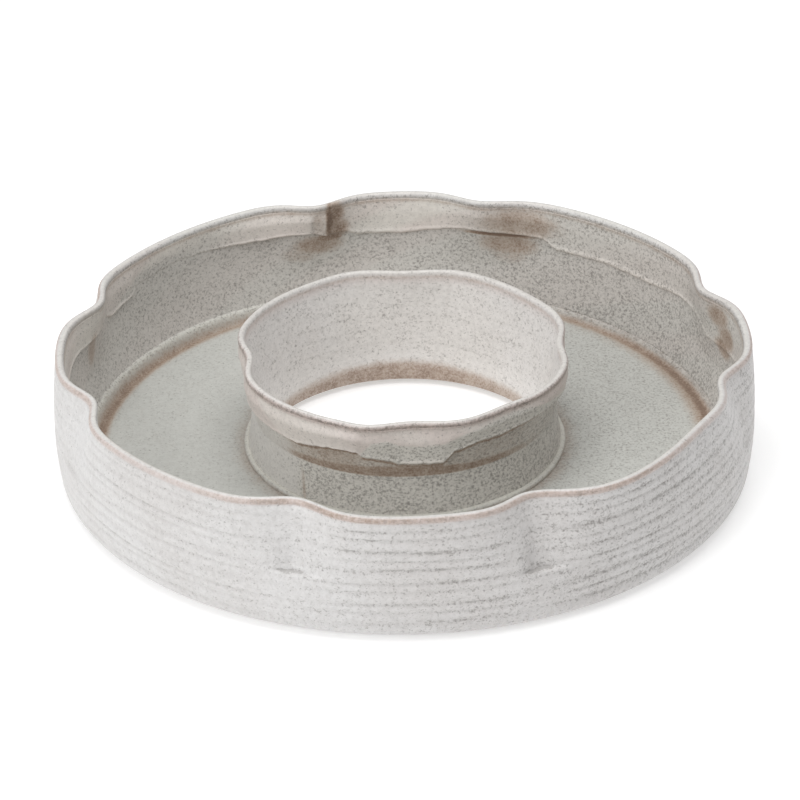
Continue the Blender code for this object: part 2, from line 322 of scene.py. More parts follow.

# %% [markdown]
# ## Paint masks
# A reactive white glaze breaks where it runs thin: iron from the clay shows as brown on rims and
# torn edges and as speckle everywhere else, and where the glaze lies thick it stays smooth and cream.
# Each piece therefore carries six masks on its points: speckle, iron, cream, line, blush and inside.
# In places cream also carries a painted highlight, and iron and line a painted shade.
# They are functions of place, so two pieces that meet agree on the colour at their seam. An image
# texture could hold the same, but functions can be read and changed.

# %% Stains that cross from piece to piece inside the wall
# centre angle, centre height in mm, half angle, half height in mm, strength
WALL_STAINS = (
    (102.9, 57.0, 2.0, 8.0, 1.0), (102.4, 48.0, 2.5, 6.0, 0.9), (104.0, 54.0, 0.7, 11.0, 1.4),
    (106.2, 54.0, 1.2, 9.0, 0.42), (103.9, 43.2, 2.6, 2.8, 1.15), (106.0, 39.5, 4.6, 5.6, 0.78),
    (109.0, 35.0, 3.6, 4.4, 0.42),
    # The thin line at 71 degrees lies just under the band's edge: iron and painted shadow together.
    (67.2, 52.3, 7.4, 7.8, 0.74), (71.0, 44.8, 6.4, 1.3, 1.6),
    (69.5, 39.8, 5.6, 6.4, 0.76), (69.0, 33.0, 3.2, 4.2, 0.40),
    (12.8, 54.0, 3.0, 5.6, 0.85), (9.4, 46.5, 3.4, 5.4, 0.92), (10.8, 39.5, 3.0, 5.0, 0.95),
    (166.0, 40.0, 1.6, 9.0, 0.7),
)


def stain(angle, z, stains):
    """Soft-edged spots, the strongest at each point."""
    total = 0 * angle * z
    for centre, height, half_angle, half_height, strength in stains:
        across = away_from(angle, centre) / half_angle
        along = (z / MM - height) / half_height
        patch = strength * np.exp(-0.7 * (across ** 2 + along ** 2) ** 2.2)
        total = np.maximum(total, patch)
    return total


def spot(angle, centre, half_angle):
    """A soft patch round one angle."""
    return np.exp(-(away_from(angle, centre) / half_angle) ** 2)


def slow_patches(angle, z, seed):
    """Soft patches, 0 to 1, as large as a hand's breadth and leaning up the wall."""
    leaning = slow_wave(angle + 900 * z, seed, (5, 9, 14), 3.0) / MM
    return np.clip(leaning + 0.35, 0, 1)


def towards(angle, centre):
    """1 at one angle, falling to 0 on the opposite side."""
    return 0.5 + 0.5 * np.cos(np.radians(angle - centre))


print(len(WALL_STAINS), "stains")

# %% [markdown]
# ## Shaping and painting the wall
# The outline is turned into a grid first. Then hand work moves its points: pinches, throwing lines,
# thumb hollows and a rim that rises and falls a little. The masks come from the same functions.
# Speckle gathers on one side of the pot, as it does where the kiln was hotter.

# %% Build the outer wall
WALL_STEPS = 720
SPECKLED_SIDE = 330
# centre angle and half angle of the thick, smooth glaze behind one pinch
BEHIND_PINCH = (168.5, 3.6)


def build_outer_wall():
    outline, facing = wall_outline()
    angle, r0, z0 = ring_grid(WALL_STEPS, outline)
    out = rise(facing, 0.0, 1.0)
    radius = press_wall(angle, r0, z0)
    clear = out * ease(z0, 4 * MM, 9 * MM) * (1 - ease(z0, RIM_TOP - 7 * MM, RIM_TOP - 3 * MM))
    groove = throwing_line(angle, z0) * clear
    beside_groove = throwing_line(angle, z0, 1.3 * MM) * clear
    in_pinch = np.clip(pressed_in(angle, WALL_PRESSES) / (8 * MM), 0, 1)
    radius = radius - LINE_DEPTH * groove * (1 - 0.7 * in_pinch)
    under_rim = np.exp(-(((RIM_TOP - z0) / MM - 3.0) / 0.8) ** 2) * out
    radius = radius - 0.35 * MM * under_rim
    radius = radius - (thumb_tip(angle, z0) + 0.8 * MM * crease(angle, z0, 0.7 * MM)) * out
    height = z0 + slow_wave(angle, 12, (2, 4, 7, 11), 0.7) * rise(z0, 0.6 * RIM_TOP, RIM_TOP)
    height = np.minimum(height, RIM_TOP)

    from_top = (RIM_TOP - z0) / MM
    patchy = 0.80 + 0.28 * np.sin(np.radians(5 * angle + 40)) * np.sin(np.radians(2 * angle + 150))
    rim_line = ease(facing, 0.10, 0.50) * (1 - ease(from_top, 2.3, 3.5)) * patchy
    inner_line = np.exp(-((from_top - 3.6) / 1.5) ** 2) * (facing < -0.4)
    right = towards(angle, SPECKLED_SIDE)
    inside = (facing < 0).astype(float)
    # Painted highlight: the top of the rim is painted pale where the light catches it.
    painted_rim_highlight = np.exp(-((facing + 0.25) / 0.42) ** 2) * np.exp(-(from_top / 1.8) ** 2)
    thick_glaze = spot(angle, *BEHIND_PINCH) * ease(z0, 42 * MM, 50 * MM) * inside
    speckle_outside = out * (0.04 + 0.66 * right ** 2) * (0.65 + 0.7 * beside_groove)
    speckle_inside = inside * (0.64 + 0.30 * right)
    pressure = (0.80 + 0.34 * right ** 2) * (0.84 + 0.22 * slow_patches(angle, z0, 9))
    thrown = beside_groove * pressure * (1 - 0.5 * in_pinch)
    paint = {
        "iron": np.maximum(0.52 * rim_line + 0.5 * inner_line,
                           stain(angle, z0, WALL_STAINS) * inside),
        "speckle": (speckle_outside + speckle_inside) * (1 - painted_rim_highlight) * (1 - thick_glaze),
        "cream": np.maximum(painted_rim_highlight, thick_glaze),
        # A dark line painted as shade in the crease under each thumb hollow.
        "line": thrown + 2.0 * crease(angle, z0, 0.6 * MM) * out + rim_line,
        "blush": 1.2 * rim_line + 0.22 * inside * slow_patches(angle, z0, 5) + 0.14 * out * right,
        "inside": inside * (1 - np.exp(-(from_top / 3.0) ** 2)) * (1 - thick_glaze),
    }
    return ring_mesh("outer_wall_glazed", angle, radius, height, paint)


wall = build_outer_wall()
print("outer wall:", len(wall.data.vertices), "points")

# %% [markdown]
# ## The folded band inside the wall
# The potter folded the top of the wall inwards and pressed the flap flat, so a band of smooth clay
# runs round the inside below the rim. Its lower edge is torn. At the sharpest pinch the flap has
# split: it stands proud on one side and the bare, iron-brown clay shows beside it. A band could be
# cut from the wall's own mesh, but as its own thin ring it keeps a crisp edge with a real shadow.
# Two lists say how low its edge hangs and how far it stands proud at a few angles.

# %% Helper for folded bands
BAND_SINK = 0.35 * MM


def build_band(name, face, side, top, edge_stops, proud_stops, press, seed, steps, paint):
    """A band of folded clay on a face. Its thickness and lower edge change round the ring.

    The outline runs down one side and up the other; side is 1 where the band lies on an outer
    face and -1 on an inner one. The hidden side is sunk into the face by BAND_SINK.
    """
    count = 40
    down = np.linspace(0, 1, count)
    along = np.concatenate([down, down[::-1]]).reshape(1, -1)
    shown = np.repeat([1.0, 0.0] if side > 0 else [0.0, 1.0], count).reshape(1, -1)
    angle = turns_of(steps) + 0 * along
    edge = round_the_ring(angle, edge_stops) * MM + torn_wave(angle, seed)
    proud = round_the_ring(angle, proud_stops) * MM
    z = top + (edge - top) * along
    rounded = np.sqrt(np.clip(1 - np.clip((along - 0.90) / 0.10, 0, 1) ** 2, 0, 1))
    bead = 0.4 * np.minimum(proud, 0.8 * MM) * np.exp(-((along - 0.92) / 0.05) ** 2)
    thick = (proud * (0.05 + 0.95 * ease(along, 0.0, 0.45)) + bead) * rounded
    radius = face(z) + side * (shown * (thick + BAND_SINK) - BAND_SINK)
    radius = press(angle, radius, z)
    return ring_mesh(name, angle, radius, z, paint(angle, z, along))


# %% Build the band inside the wall
# angle, height in mm of the lower edge
WALL_BAND_EDGE = (
    (0, 43), (14, 37), (17, 36.5), (21, 42.5), (30, 42.3), (38, 39.5), (50, 40.3), (60, 39.8),
    (62.5, 44.6), (68, 45.2), (78, 46.3), (83, 43.5), (90, 41.1), (98, 41.8), (101, 44.6),
    (104.4, 44.8), (106.0, 46.2), (107.5, 47.2), (117, 46.1), (124, 47.5), (135, 50), (146.5, 48),
    (147.8, 44.4), (155.6, 42.8), (157.5, 46), (165, 45), (200, 46), (230, 43), (262, 45),
    (300, 42), (330, 44),
)
# angle, how far the band stands proud in mm
WALL_BAND_PROUD = (
    (0, 0.6), (17, 0.9), (30, 0.8), (60, 0.8), (62.5, 1.6), (78, 1.6), (84, 0.9), (98, 1.0),
    (104.0, 0.4), (104.5, 2.9), (105.0, 2.7), (107.0, 1.2), (107.8, 2.3), (117, 1.9), (124, 0.7),
    (130, 0.06), (146, 0.06), (148, 1.1), (155, 1.1), (157.5, 0.1), (165, 0.7), (200, 1.2),
    (270, 1.2), (330, 0.9),
)
WALL_BAND_TOP = RIM_TOP - 3.2 * MM


def paint_wall_band(angle, z, along):
    """Cream where the band is smooth and thick, with a painted highlight along its raised lip; iron in the
    stains, and iron with painted shade along the torn edge.
    """
    from_top = (RIM_TOP - z) / MM
    # Iron with painted shade along the torn edge, darkest where the band stands furthest proud.
    torn = round_the_ring(angle, WALL_BAND_PROUD) / 1.6
    edge = np.exp(-((along - 0.985) / 0.03) ** 2) * np.clip(torn, 0, 1)
    # A painted highlight along the raised lip of the band's lower edge.
    lip = np.exp(-((along - 0.92) / 0.05) ** 2)
    lip = lip * np.maximum(spot(angle, 38, 26), 1.5 * spot(angle, 151.7, 4.5))
    facet = spot(angle, 106.2, 1.3)
    behind_pinch = spot(angle, *BEHIND_PINCH)
    smooth = np.maximum.reduce([spot(angle, 116, 11), spot(angle, 88, 12), spot(angle, 140, 12),
                                spot(angle, 195, 50), behind_pinch])
    plain = spot(angle, 141, 17) * ease(along, 0.2, 0.8)
    smooth = smooth * (1 - plain) * (1 - 0.7 * facet)
    rim_line = np.exp(-((from_top - 4.0) / 1.2) ** 2) * (1 - behind_pinch)
    return {
        "iron": np.maximum(np.maximum(0.5 * edge, 0.5 * rim_line), stain(angle, z, WALL_STAINS)),
        "speckle": 0.70 - 0.55 * smooth,
        "cream": np.clip(0.25 * (1 - plain) + 0.6 * smooth + 0.6 * lip, 0, 1),
        "blush": 0.3 * slow_patches(angle, z, 5) * (1 + smooth) * (1 - behind_pinch),
        "inside": np.clip(1.0 - 0.8 * smooth - 0.5 * lip, 0, 1),
    }


wall_band = build_band("outer_rim_band_glazed", wall_inside, -1, WALL_BAND_TOP, WALL_BAND_EDGE,
                       WALL_BAND_PROUD, press_wall, 21, WALL_STEPS, paint_wall_band)
print("band in the wall:", len(wall_band.data.vertices), "points")

# %% [markdown]
# ## The floor
# The floor is flat clay with faint rings from the potter's rib. Dark glaze settles in the groove
# beside the wall, deepened there with painted shade, and fades over the floor on the right; a
# painted shade also darkens the floor next to the collar's foot. It is an outline turned round the
# axis, with many columns across its top so that the rings and the groove are real relief.

# %% Build the floor
FLOOR_STEPS = 540
FLOOR_SPECKLED_SIDE = 20
GROOVE_DEPTH = 0.35 * MM
RIB_DEPTH = 0.05 * MM
RIB_SPACING = 3.1 * MM


def back_left(angle):
    """1 at the back left, where the roll of clay at the wall is broadest."""
    return spot(angle, 150, 66)


def groove_iron_and_shade(angle):
    """How much iron and painted shade darken the groove by the wall: most on the left and on the right."""
    return 0.74 + 0.46 * spot(angle, 185, 56) + 0.66 * spot(angle, 8, 36)


def build_floor():
    top = [(r, FLOOR_TOP) for r in np.linspace(FLOOR_INNER, FLOOR_OUTER, 120)]
    bottom = [(r, FLOOR_BOTTOM) for r in np.linspace(FLOOR_OUTER, FLOOR_INNER, 12)]
    angle, r0, z0 = ring_grid(FLOOR_STEPS, top + bottom)
    upper = (z0 > (FLOOR_TOP + FLOOR_BOTTOM) / 2).astype(float)
    rings = np.sin(r0 / RIB_SPACING + slow_wave(angle, 31, (1, 2, 3), 1.5) / MM)
    spread = ease(r0, FLOOR_INNER + 6 * MM, FLOOR_INNER + 14 * MM)
    height = z0 - upper * RIB_DEPTH * (1 + rings) * spread
    right = towards(angle, FLOOR_SPECKLED_SIDE)
    groove_middle = FLOOR_OUTER - (4.2 + 1.0 * back_left(angle)) * MM
    inward = (2.8 + 1.0 * right) * MM
    groove = np.exp(-((r0 - groove_middle) / np.where(r0 < groove_middle, inward, 5.0 * MM)) ** 2)
    height = height - upper * GROOVE_DEPTH * groove
    tail = ease(r0, groove_middle - 12 * MM, groove_middle - 1 * MM) * (r0 < groove_middle)
    tail = 0.90 * tail * spot(angle, 12, 40)
    # Painted shade: the floor is darker next to the collar's foot, as iron tint and denser speckle.
    shade_by_collar = 1 - rise(r0, FLOOR_INNER + 4 * MM, FLOOR_INNER + 12 * MM)
    paint = {
        "iron": upper * (np.maximum(groove * groove_iron_and_shade(angle), tail) + 0.44 * shade_by_collar),
        "speckle": upper * (0.24 + 0.46 * right + 0.3 * shade_by_collar),
        "inside": upper,
    }
    return ring_mesh("floor_ring_glazed", angle, r0, height, paint)


floor_piece = build_floor()
print("floor:", len(floor_piece.data.vertices), "points")

# %% [markdown]
# ## The two corner coils
# A coil of clay is pressed into each inside corner before firing, so that the joint doesn't crack:
# a broad soft roll at the wall and a thin bead at the collar. A bent tube would stand on the floor
# with a hard crease. Instead the roll's outline starts below the floor, leaves it in a soft S and
# ends behind the face of the wall. Slow waves let it swell and thin as hand-pressed clay does.

# %% Build the two corner coils
COIL_POINTS = 28
COIL_HIDDEN_POINTS = 6


def build_wall_coil():
    """A broad roll; its top climbs higher up the wall at the back left."""
    along = np.linspace(0, 1, COIL_POINTS).reshape(1, -1)
    hidden = np.linspace(1, 0, COIL_HIDDEN_POINTS).reshape(1, -1)
    angle = turns_of(WALL_STEPS)
    left = back_left(angle)
    climb = (2.6 + 3.0 * left) * MM + slow_wave(angle, 41, (3, 7, 11), 0.5)
    foot = FLOOR_OUTER - (3.8 + 1.1 * left) * MM + slow_wave(angle, 42, (4, 9), 0.3)
    low = FLOOR_TOP - 0.5 * MM
    high = FLOOR_TOP + climb
    end = wall_inside(high) + 0.2 * MM
    bulge = (0.2 + 0.9 * left) * MM
    swell = bulge * np.sin(pi * along ** 2)
    r_seen = foot + (end - foot) * along - 0.5 * swell
    z_seen = low + (high - low) * ease(along, 0.0, 1.1) + 0.5 * swell
    r_hidden = foot + 1.2 * MM + (end + 0.8 * MM - foot - 1.2 * MM) * hidden
    z_hidden = low - 0.2 * MM + (high - low) * hidden
    radius = np.concatenate([r_hidden, r_seen], axis=1)
    height = np.concatenate([z_hidden, z_seen], axis=1)
    angle = angle + 0 * radius
    left = left + 0 * radius
    seen_along = np.concatenate([hidden * 0 + 1, along], axis=1) + 0 * radius
    paint = {
        # Iron with painted shade at the roll's foot, as in the groove.
        "iron": np.maximum(groove_iron_and_shade(angle) * np.exp(-(seen_along / 0.56) ** 2),
                           # On the right the whole roll is painted darker as shade, so its upward face is
                           # no lighter than the wall.
                           0.28 * (1 - left)),
        "speckle": 0.2 + 0.5 * np.maximum(seen_along, 1 - left),
        # On the left, pale glaze with a painted highlight near the roll's top.
        "cream": 0.8 * left * np.exp(-((seen_along - 0.78) / 0.2) ** 2),
        "line": 0.92 * (1 - left) * rise(seen_along, 0.2, 0.5),
        "inside": np.maximum(rise(seen_along, 0.75, 1.0), 1 - left),
    }
    return ring_mesh("wall_foot_coil_glazed", angle, radius, height, paint)


def build_collar_coil():
    """A thin bead round the foot of the collar."""
    inner = FLOOR_INNER - 0.4 * MM
    outline = arc((inner + 1.7 * MM, FLOOR_TOP + 0.5 * MM), 1.8 * MM, 150, -20, 20)
    outline = outline + [(inner + 3.3 * MM, FLOOR_TOP - 0.4 * MM), (inner, FLOOR_TOP - 0.4 * MM)]
    angle, r0, z0 = ring_grid(FLOOR_STEPS, outline)
    swell = slow_wave(angle, 51, (3, 8, 13), 0.3)
    radius = r0 + swell * rise(r0, inner + 1 * MM, inner + 4 * MM)
    height = z0 + swell * rise(z0, FLOOR_TOP, FLOOR_TOP + 2 * MM)
    outer = rise(r0, inner + 2.5 * MM, inner + 3.5 * MM)
    paint = {
        # Painted shade: iron darkens the bead's outer side, where it meets the floor.
        "iron": 0.42 * outer ** 2,
        "speckle": 0.12 + 0.5 * outer,
        "cream": 1.0 - outer,
        "inside": 0.3 * outer,
    }
    return ring_mesh("collar_foot_coil_glazed", angle, radius, height, paint)


wall_coil = build_wall_coil()
collar_coil = build_collar_coil()
print("coils:", len(wall_coil.data.vertices), "and", len(collar_coil.data.vertices), "points")

# %% [markdown]
# ## The collar round the open middle
# The collar is straight up to a neck at half its height and then flares to a thin rim. Its faces
# are functions of height, as the wall's are. The torn edge of the band that will lie outside it is
# given here too, because a painted shadow darkens the collar just under that edge.

# %% Faces of the collar
COLLAR_STEPS = 600
NECK_HEIGHT = 30 * MM
COLLAR_SEAM = FLOOR_INNER - 0.3 * MM
COLLAR_RIM_HALF = 1.7 * MM
COLLAR_RIM_RADIUS = HOLE_RADIUS + 9.2 * MM
COLLAR_RIM_MIDDLE = COLLAR_TOP - COLLAR_RIM_HALF
# angle, height in mm of the lower edge
COLLAR_BAND_EDGE = (
    (0, 44), (30, 43), (60, 41), (90, 43), (120, 40), (150, 42), (180, 44), (205, 43), (216, 42),
    (231, 41.2), (244, 44.9), (254, 45.1), (255.3, 42.4), (263, 40.8), (268, 37.9), (283.3, 37.5),
    (287, 44.0), (296, 47.0), (304, 46.2), (316, 47.6), (324, 48.5), (345, 46),
)


def collar_band_edge(angle):
    """Height of the torn lower edge of the band outside the collar."""
    return round_the_ring(angle, COLLAR_BAND_EDGE) * MM + torn_wave(angle, 71)


def collar_outside(z):
    """Radius of the outer face: a foot that spreads a little, a neck and a flare."""
    flare = rise(z, NECK_HEIGHT, COLLAR_RIM_MIDDLE) ** 1.05
    neck = COLLAR_SEAM - 1.0 * MM
    rim = COLLAR_RIM_RADIUS + COLLAR_RIM_HALF
    spread = 2.4 * MM * (1 - rise(z, FLOOR_TOP, NECK_HEIGHT)) ** 1.5
    return neck + (rim - neck) * flare + spread


def collar_inside(z):
    """Radius of the inner face, which flares more softly."""
    flare = ease(z, NECK_HEIGHT - 12 * MM, COLLAR_TOP + 22 * MM) * 1.62
    return HOLE_RADIUS + (COLLAR_RIM_RADIUS - COLLAR_RIM_HALF - HOLE_RADIUS) * np.minimum(flare, 1.0)


def press_collar(angle, radius, z):
    """The collar's pinches and slow waves, strongest at the rim and none below the neck."""
    fade = rise(z, NECK_HEIGHT - 4 * MM, COLLAR_TOP)
    radius = radius - pressed_in(angle, COLLAR_PRESSES) * fade
    return radius + slow_wave(angle, 61, (3, 5, 7), 0.35) * fade


def collar_outline():
    """Points, and for each how far it faces out: 1 outside, -1 inside."""
    rim_inner = float(collar_inside(COLLAR_RIM_MIDDLE))
    rim_outer = float(collar_outside(COLLAR_RIM_MIDDLE))
    half = (rim_outer - rim_inner) / 2
    rim = arc(((rim_inner + rim_outer) / 2, COLLAR_RIM_MIDDLE), half, 180, 0, 15)
    outside = follow(collar_outside, COLLAR_RIM_MIDDLE, FLOOR_TOP, 90)[1:]
    outside = outside + [(COLLAR_SEAM, FLOOR_BOTTOM)]
    edge = arc((HOLE_RADIUS + 1.2 * MM, FLOOR_BOTTOM + 1.2 * MM), 1.2 * MM, 270, 180, 7)
    inside = follow(collar_inside, FLOOR_BOTTOM + 1.7 * MM, COLLAR_RIM_MIDDLE, 90)[:-1]
    facing = list(np.linspace(-1, 1, len(rim))) + [1.0] * len(outside)
    facing += [-1.0] * (len(edge) + len(inside))
    return rim + outside + edge + inside, np.array(facing).reshape(1, -1)


print(f"neck radius {collar_outside(NECK_HEIGHT):.4f}, rim radius {COLLAR_RIM_RADIUS:.4f}")

# %% [markdown]
# ## Shaping and painting the collar
# Outside, the neck is a clear crease, because the flare hangs over it, and a broad brown stripe
# there is iron with painted shade. Above it the collar gets painted shade under the band and a painted
# shadow line just below the band's edge. Inside the collar is smooth, with a speckled brown zone just
# above the hole's edge. The foot has an upright seam where two glaze pours met. Each of these is one
# soft mask.

# %% Build the collar
POUR_SEAM = 230


def build_collar():
    outline, facing = collar_outline()
    angle, r0, z0 = ring_grid(COLLAR_STEPS, outline)
    out = rise(facing, 0.0, 1.0)
    radius = press_collar(angle, r0, z0)
    wobble = throwing_line(angle * 2, z0 * 0.8)
    radius = radius + 0.10 * MM * wobble * (1 - out) * ease(z0, 8 * MM, 14 * MM)
    height = z0 + slow_wave(angle, 62, (2, 3, 5, 9), 0.5) * rise(z0, 0.7 * COLLAR_TOP, COLLAR_TOP)
    height = np.minimum(height, COLLAR_TOP)

    from_top = (COLLAR_TOP - z0) / MM
    above_neck = (z0 - NECK_HEIGHT) / MM
    sharp_foot = ease(above_neck, -0.5, 0.4)
    from_front = away_from(angle, 270)
    front = ease(from_front, -54, -40) * (1 - ease(from_front, 28, 74))
    stripe_top = 4.4 + 2.6 * spot(angle, 266, 24)
    # Painted shade at the neck: the stripe is iron and painted shade in the crease under the flare.
    stripe = sharp_foot * (1 - ease(above_neck, stripe_top - 2.0, stripe_top + 1.5)) * front
    # Painted shade on the collar under the band, strongest in front.
    shade_by_fold = 0.16 + 0.24 * spot(angle, 243, 15) + 0.22 * front
    below_fold = (collar_band_edge(angle) - z0) / MM
    # A painted shadow line just below the band's edge.
    shadow_line_under_fold = 1.1 * np.exp(-((below_fold - 1.7) / 0.9) ** 2) * front
    shade_under_band = sharp_foot * np.maximum((1 - rise(above_neck, 13, 19)) * shade_by_fold, shadow_line_under_fold)
    hole_edge = 9.0 + 5.0 * spot(angle, 92, 40)
    brown_zone = 1 - ease(z0 / MM, hole_edge - 5.0, hole_edge + 3.0)
    brown_zone = brown_zone * (0.66 + 0.30 * spot(angle, 95, 70)) * (facing < 0)
    from_seam = away_from(angle, POUR_SEAM)
    seam = np.exp(-((from_seam + 120 * (z0 - 20 * MM)) / 0.8) ** 2)
    seam = seam * (1 - rise(z0, 22 * MM, 30 * MM))
    left = ease(-from_seam, 0, 6) * (from_seam > -120)
    outer_line = np.exp(-((from_top - 1.8) / 1.5) ** 2) * (facing > 0.3)
    inner_line = np.exp(-((from_top - 3.0) / 1.2) ** 2) * (facing < -0.3)
    iron = np.maximum.reduce([0.92 * stripe * out, shade_under_band * out, brown_zone, 0.6 * seam * out,
                              0.28 * outer_line, 0.40 * inner_line])
    # Painted highlight: the top of the rim is painted pale where the light catches it.
    painted_rim_highlight = np.exp(-((facing + 0.1) / 0.45) ** 2) * np.exp(-(from_top / 1.5) ** 2)
    streaks = (1 - out) * ease(z0, 14 * MM, 24 * MM)
    smooth_left = left * (1 - rise(z0, 36 * MM, 46 * MM)) * out
    below_lip = np.exp(-((from_top - 4.0) / 2.4) ** 2)
    paint = {
        "iron": iron,
        "speckle": (0.85 * out - 0.6 * smooth_left + 0.32 * (1 - out)) * (1 - painted_rim_highlight),
        "cream": np.maximum(painted_rim_highlight, 0.6 * smooth_left),
        "line": streaks * (0.57 + 0.18 * wobble) + 0.9 * outer_line,
        "blush": 1.2 * outer_line + 0.5 * below_lip + 0.12 * (1 - out),
        "inside": out * (1 - np.exp(-(from_top / 3.0) ** 2)) * (1 - 0.6 * smooth_left),
    }
    return ring_mesh("inner_collar_glazed", angle, radius, height, paint)


collar = build_collar()
print("collar:", len(collar.data.vertices), "points")

# %% [markdown]
# ## The folded band outside the collar
# Here the clay is folded outwards over the rim. The same helper makes it, on the outer face this
# time. Most of it is smooth and peach-coloured, and a grey speckled patch in front shows where the
# glaze ran off. A short stretch of its lower edge has no iron and a painted highlight.

# %% Build the folded band outside the collar
# angle, how far the band stands proud in mm
COLLAR_BAND_PROUD = (
    (0, 1.5), (90, 1.3), (180, 1.7), (216, 2.3), (244, 2.7), (254, 2.9), (256.5, 2.1), (266, 2.3),
    (283, 2.6), (287, 1.8), (300, 1.6), (324, 1.4),
)
# angle, height in mm of the grey patch's upper edge
GREY_PATCH_TOP = (
    (250, 35), (255.6, 46), (259, 52), (264, 53), (268, 50.2), (275, 49), (283, 50), (290, 54),
    (300, 56), (312, 57), (330, 52), (345, 47), (355, 35),
)
COLLAR_BAND_TOP = COLLAR_TOP - 2.6 * MM


def paint_collar_band(angle, z, along):
    """Smooth and peach, but for the grey patch, a line of iron along the torn edge and a painted highlight
    on a short stretch of it.
    """
    from_top = (COLLAR_TOP - z) / MM
    edge = np.exp(-((along - 0.985) / 0.03) ** 2)
    patch = ease(round_the_ring(angle, GREY_PATCH_TOP) - z / MM, -0.6, 0.9)
    lip_line = np.exp(-((from_top - 2.4) / 1.7) ** 2)
    # A painted highlight on a short stretch of the lower edge, where it has no iron.
    painted_edge_highlight = np.exp(-(away_from(angle, 276) / 7.0) ** 8) * np.exp(-((along - 0.90) / 0.035) ** 2)
    peach = (0.30 + 0.5 * slow_patches(angle, z, 8)) * (1 - patch) * (1 - painted_edge_highlight)
    return {
        "iron": np.maximum(edge * (1 - painted_edge_highlight), 0.28 * lip_line),
        "speckle": 0.14 + 0.56 * patch * (1 - painted_edge_highlight),
        "cream": np.clip(0.8 * (1 - patch) + painted_edge_highlight, 0, 1),
        "line": 0.9 * lip_line,
        "blush": np.maximum(peach, 1.1 * lip_line),
        "inside": 0.85 * patch * (1 - painted_edge_highlight) + 0.10,
    }


collar_band = build_band("collar_rim_band_glazed", collar_outside, 1, COLLAR_BAND_TOP,
                         COLLAR_BAND_EDGE, COLLAR_BAND_PROUD, press_collar, 71, COLLAR_STEPS,
                         paint_collar_band)
print("band on the collar:", len(collar_band.data.vertices), "points")

# %% [markdown]
# ## The foot rings
# The dish stands on two turned rings that are wiped clean of glaze, so that they don't stick to the
# kiln shelf. They are bare, slightly sandy clay with softened edges. Their sizes are all in the
# solids, so one function makes both.

# %% Build the foot rings
FOOT_EDGE = 0.8 * MM


def build_foot(node):
    inner, outer, low, high = ring_size(node)
    left, right = inner + FOOT_EDGE, outer - FOOT_EDGE
    outline = [(outer, high)] + arc((right, low + FOOT_EDGE), FOOT_EDGE, 0, -90, 6)
    outline = outline + [(r, low) for r in np.linspace(right, left, 10)[1:-1]]
    outline = outline + arc((left, low + FOOT_EDGE), FOOT_EDGE, 270, 180, 6) + [(inner, high)]
    angle, radius, height = ring_grid(FLOOR_STEPS, outline)
    radius = radius + slow_wave(angle, 81, (3, 7, 12), 0.15)
    return ring_mesh(node + "_turned", angle, radius, height, {})


outer_foot = build_foot("outer_foot_ring")
inner_foot = build_foot("inner_foot_ring")
print("feet:", len(outer_foot.data.vertices) + len(inner_foot.data.vertices), "points")

# %% [markdown]
# ## Node groups shared by the glazes
# Five effects come back in every glaze, so each is a node group that is built once. Speckle is small
# dark grains that gather in loose clumps. Broken lines are dashes drawn along the throwing grooves,
# over a soft painted shade.
# A ragged mask turns a soft painted mask into one with a grainy edge, the way iron shows through.
# Clouds are slow changes of tint, with a fine mottle. Skin is the silky, slightly pitted surface.
# All of them read noise in the object's own coordinates, so no pattern slides, repeats or stretches.

# %% Helpers for node groups
def new_group(name, inputs, outputs):
    """An empty group. Inputs are (label, kind, default or None) and outputs are (label, kind)."""
    tree = bpy.data.node_groups.new(name, 'ShaderNodeTree')
    for label, kind, value in inputs:
        socket = tree.interface.new_socket(label, in_out='INPUT', socket_type=kind)
        if value is not None:
            socket.default_value = value
    for label, kind in outputs:
        tree.interface.new_socket(label, in_out='OUTPUT', socket_type=kind)
    return tree, tree.nodes.new("NodeGroupInput"), tree.nodes.new("NodeGroupOutput")


def feed(tree, socket, value):
    """Set a socket to a number, or link it to an output socket."""
    if isinstance(value, (int, float)):
        socket.default_value = value
    else:
        tree.links.new(value, socket)


def math_node(tree, operation, *values):
    """A Math node; each value is a number or an output socket."""
    node = tree.nodes.new("ShaderNodeMath")
    node.operation = operation
    for slot, value in enumerate(values):
        feed(tree, node.inputs[slot], value)
    return node.outputs[0]


def scaled(tree, value, factor):
    return math_node(tree, 'MULTIPLY', value, factor)


def smooth_step(tree, value, low, high):
    """0 below low, 1 above high, soft between."""
    node = tree.nodes.new("ShaderNodeMapRange")
    node.interpolation_type = 'SMOOTHSTEP'
    feed(tree, node.inputs["Value"], value)
    feed(tree, node.inputs["From Min"], low)
    feed(tree, node.inputs["From Max"], high)
    return node.outputs["Result"]


def noise(tree, vector, scale, detail=2.0, rough=0.5):
    """Noise whose grains are about one metre divided by scale."""
    node = tree.nodes.new("ShaderNodeTexNoise")
    node.inputs["Scale"].default_value = scale
    node.inputs["Detail"].default_value = detail
    node.inputs["Roughness"].default_value = rough
    tree.links.new(vector, node.inputs["Vector"])
    return node.outputs["Fac"]


def flattened(tree, vector, squeeze):
    """Coordinates squeezed in height, so that noise in them comes out longer round the pot."""
    stretch = tree.nodes.new("ShaderNodeMapping")
    stretch.inputs["Scale"].default_value = (1.0, 1.0, squeeze)
    tree.links.new(vector, stretch.inputs["Vector"])
    return stretch.outputs["Vector"]


# %% The five groups
FLOAT, VECTOR = 'NodeSocketFloat', 'NodeSocketVector'


